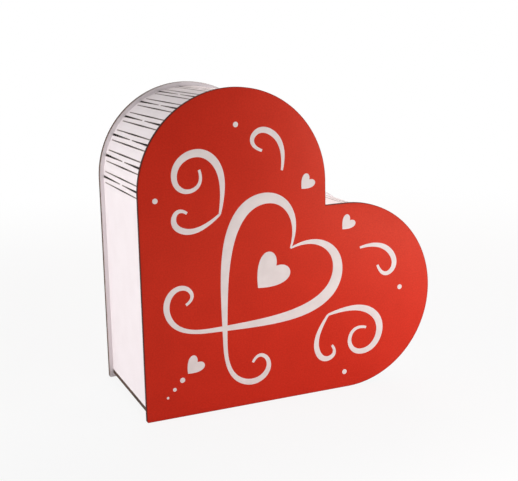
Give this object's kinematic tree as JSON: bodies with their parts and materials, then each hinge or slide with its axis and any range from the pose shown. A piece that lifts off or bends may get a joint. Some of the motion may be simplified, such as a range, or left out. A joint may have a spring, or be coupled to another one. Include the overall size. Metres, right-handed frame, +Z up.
{
  "type": "heart-shaped gift box",
  "caption": "Heart-shaped gift box of thin board with slit walls bent round its lobes and a flat red lid that pulls off the front, standing on one straight side.",
  "frame": {"origin": "on the surface that the box stands on, midway across its width and its depth", "axes": "+Z up, +X to the right as seen from the lid, +Y from the lid to the back; the tip of the heart is at the lower left"},
  "size_m": [0.2164, 0.096, 0.2165],
  "materials": {
    "red_board": "satin",
    "white_board": "satin",
    "block_wood": "matte"
  },
  "bodies": {
    "box": {"left_wall": "white_board", "bottom_wall": "white_board", "back_panel": "white_board", "back_former": "white_board", "tip_block": "block_wood", "cleft_block": "block_wood"},
    "lid": {"lid_panel": "red_board", "lid_plug": "white_board"}
  },
  "joints": [
    {"name": "lid_pull", "type": "slide", "parent": "box", "child": "lid", "axis": [0, -1, 0], "range_m": [0, 0.12]}
  ]
}
